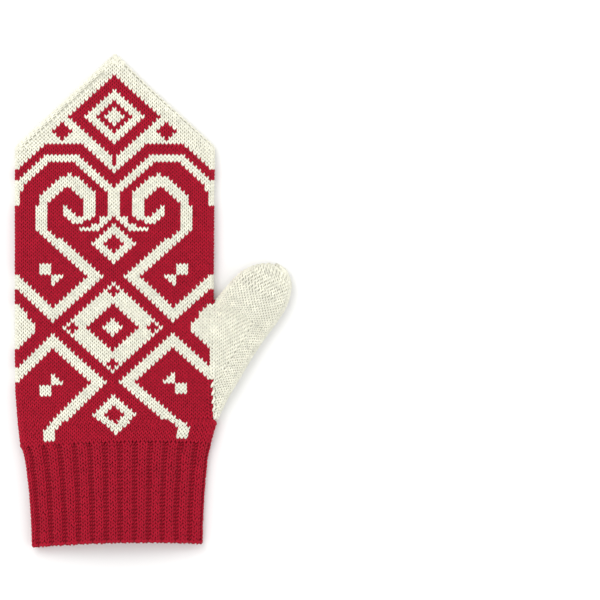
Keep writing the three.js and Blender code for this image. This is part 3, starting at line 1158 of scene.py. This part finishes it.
class MITTEN_OT_thumb(bpy.types.Operator):
    """Knits the thumb and its gusset"""

    bl_idname = "mitten.thumb"
    bl_label = "Thumb"

    def execute(self, context):
        yarn = context.scene.mitten_yarn
        surface = ThumbSurface()
        rng = np.random.default_rng(SEED + 2)
        upper, lower = [], []
        for row in range(round(surface.last_row)):
            for first, second in self.row_edges(surface, row):
                cell = self.cell(surface, row, first, second)
                (upper if first[0] + second[0] >= 0 else lower).append(cell)
        upper.extend(self.end_cells(surface))
        for name, cells, sides in (("thumb_stitches_front", upper, 5),
                                   ("thumb_stitches_back", lower, 4)):
            lay_yarn(name, np.array(cells), knit_stitch(LEG, sides), wool(yarn, "cream"),
                     rng)
        self.add_join(yarn, rng)
        self.add_wall(yarn, surface)
        return {"FINISHED"}

    def row_edges(self, surface, row):
        """Boundaries of a row's stitches. Each is a distance from the outer fold, or from the
        join when its second part is true."""
        half_strip = STRIP_COLUMNS / 2 * COLUMN_PITCH
        if row >= GUSSET_ROWS:
            middle = min(row + 0.5, surface.last_row)
            stops = []
            for side, upper in ((-1, False), (1, True)):
                length = surface.length(middle, upper)
                count = max(3, round(length / COLUMN_PITCH - 0.5))
                pitch = length / (count + 0.5)
                stops += sorted(side * pitch * (k + 0.5) for k in range(count + 1))
            return [((a, False), (b, False)) for a, b in zip(stops[:-1], stops[1:])]
        spans = []
        for side, upper in ((1, True), (-1, False)):
            length = surface.length(row + 0.5, upper)
            count = round(max(length - half_strip, 0) / COLUMN_PITCH)
            strip = [(k + 0.5) * COLUMN_PITCH for k in range(STRIP_COLUMNS // 2 + 1)]
            stops = [(side * stop, False) for stop in strip if stop < length - COLUMN_PITCH / 2]
            stops += [(side * k * COLUMN_PITCH, True) for k in range(count - 1, 0, -1)]
            stops.append((side * AT_JOIN, True))
            part = list(zip(stops[:-1], stops[1:]))
            spans += part if side > 0 else [span[::-1] for span in part]
        first = min(COLUMN_PITCH / 2, surface.length(row + 0.5, True) / 2)
        return spans + [((-first, False), (first, False))]

    def cell(self, surface, row, first, second):
        """Corners of one stitch: lower left, lower right, upper left, upper right."""
        corners = []
        for level in (row, row + 1):
            for distance, from_join in (second, first):
                at_join = from_join and abs(distance) <= AT_JOIN
                side = math.copysign(1, distance)
                if from_join:
                    distance = side * (surface.length(level, side > 0) - abs(distance))
                corner = surface.at(np.array(distance), np.array(float(level)))
                if at_join:
                    bridged = side > 0 and corner[1] > BRIDGE_START
                    corner[0] += (BRIDGE if bridged else 0) - JOIN_LAP
                corners.append(corner)
        return np.array(corners)

    def end_cells(self, surface):
        """Stitches drawn over the thumb's end, from the upper layer to the lower one."""
        last = surface.last_row

        def place(column, row):
            share = 0.5 - END_SHARE * column
            upper = surface.at(share * surface.length(last, True), last)
            lower = surface.at(-share * surface.length(last, False), last)
            part = ((row + 1) / 2)[:, None]
            bulge = END_BULGE * np.sin(np.pi * part) * surface.along_axis
            return upper * (1 - part) + lower * part + bulge

        return quads(place, *crossed([-1.0, 0.0, 1.0], [-0.5, 0.5]))

    def add_join(self, yarn, rng):
        """The long slanting stitches where the gusset starts beside the red."""
        cells = []
        for k in range(LONG_COUNT):
            x = LONG_X - LONG_INWARD * (k / (LONG_COUNT - 1)) ** 0.5
            y = LONG_Y + LONG_PITCH * k
            z = float(join_height(y)) + LONG_LIFT
            cells.append([(x + across * LONG_HALF_WIDTH, y + up * LONG_HALF_LENGTH, z)
                          for up in (-1, 1) for across in (-1, 1)])
        lay_yarn("gusset_join_stitches", np.array(cells), Template([LONG_LEG], 6),
                 wool(yarn, "cream"), rng)

    def add_wall(self, yarn, surface):
        bm = bmesh.new()

        def place(stop, row):
            row = np.clip(row, 0, surface.last_row)
            share = np.clip(-stop / THUMB_WALL_STEPS, -1, 1)
            lengths = [surface.length(row, upper) for upper in (True, False)]
            return surface.at(share * np.where(share >= 0, *lengths), row)

        stops = np.arange(-THUMB_WALL_STEPS, THUMB_WALL_STEPS + 1.0)
        gusset = np.arange(WALL_START, GUSSET_ROWS + 1.0)
        free = np.append(np.arange(GUSSET_ROWS, surface.last_row), surface.last_row)
        for rows, closed in ((gusset, False), (free, True)):
            wall_grid(bm, place, stops, rows, closed, lambda stop, row: 1.0)
        close_ring(bm, THUMB_END_Y * MM)
        finish_wall("thumb_wall", bm, wall_wool(yarn), "thumb")


class MITTEN_OT_stage(bpy.types.Operator):
    """Sets the pale floor, the soft lights and the camera straight above"""

    bl_idname = "mitten.stage"
    bl_label = "Stage"

    def execute(self, context):
        light = context.scene.mitten_light
        self.add_floor()
        self.add_lights(context.scene, light)
        self.add_camera(context.scene)
        context.scene.view_settings.view_transform = "Standard"
        return {"FINISHED"}

    def add_floor(self):
        bm = bmesh.new()
        bmesh.ops.create_grid(bm, x_segments=8, y_segments=8, size=FLOOR_HALF)
        bmesh.ops.translate(bm, verts=bm.verts, vec=(0, 0, -FLOOR_DROP))
        mesh = bpy.data.meshes.new("floor")
        bm.to_mesh(mesh)
        bm.free()
        floor = linked("floor", mesh)
        mesh.materials.append(floor_finish())

    def add_lights(self, scene, light):
        world = bpy.data.worlds.new("studio")
        world.use_nodes = True
        background = world.node_tree.nodes["Background"]
        background.inputs["Color"].default_value = (1, 1, 1, 1)
        background.inputs["Strength"].default_value = light.surround
        scene.world = world
        for row in LIGHTS:
            place = Vector([row[axis] for axis in "xyz"])
            lamp = bpy.data.lights.new(row["name"], "AREA")
            lamp.energy = light.key_power * row["power"]
            lamp.size = row["size"]
            lamp_object = linked(row["name"], lamp)
            lamp_object.location = place
            lamp_object.rotation_euler = (-place).to_track_quat("-Z", "Y").to_euler()

    def add_camera(self, scene):
        camera = bpy.data.cameras.new("camera")
        camera.sensor_width = SENSOR
        camera.lens = SENSOR * (CAMERA_HEIGHT - SHARP_HEIGHT) / (PIXEL * IMAGE_SIZE)
        camera.clip_end = 20
        scene.camera = linked("camera", camera)
        scene.camera.location = (PHOTO_CENTRE_X * MM, PHOTO_CENTRE_Y * MM, CAMERA_HEIGHT * MM)


class MITTEN_PT_panel(bpy.types.Panel):
    """Shows the yarn's and the studio's settings, with a button for each step"""

    bl_idname = "MITTEN_PT_panel"
    bl_label = "Mitten"
    bl_space_type = "VIEW_3D"
    bl_region_type = "UI"
    bl_category = "Mitten"

    def draw(self, context):
        for group in (context.scene.mitten_yarn, context.scene.mitten_light):
            box = self.layout.box()
            for name in group.__annotations__:
                box.prop(group, name)
        for operator in OPERATORS:
            self.layout.operator(operator.bl_idname)


OPERATORS = (MITTEN_OT_stage, MITTEN_OT_cuff, MITTEN_OT_hand, MITTEN_OT_thumb)
CLASSES = (MittenYarn, MittenLight, *OPERATORS, MITTEN_PT_panel)


def register():
    for made in CLASSES:
        bpy.utils.register_class(made)
    bpy.types.Scene.mitten_yarn = PointerProperty(type=MittenYarn)
    bpy.types.Scene.mitten_light = PointerProperty(type=MittenLight)


def unregister():
    del bpy.types.Scene.mitten_light
    del bpy.types.Scene.mitten_yarn
    for made in reversed(CLASSES):
        bpy.utils.unregister_class(made)


def main():
    register()
    bpy.ops.mitten.stage()
    bpy.ops.mitten.cuff()
    bpy.ops.mitten.hand()
    bpy.ops.mitten.thumb()


if __name__ == "__main__":
    main()
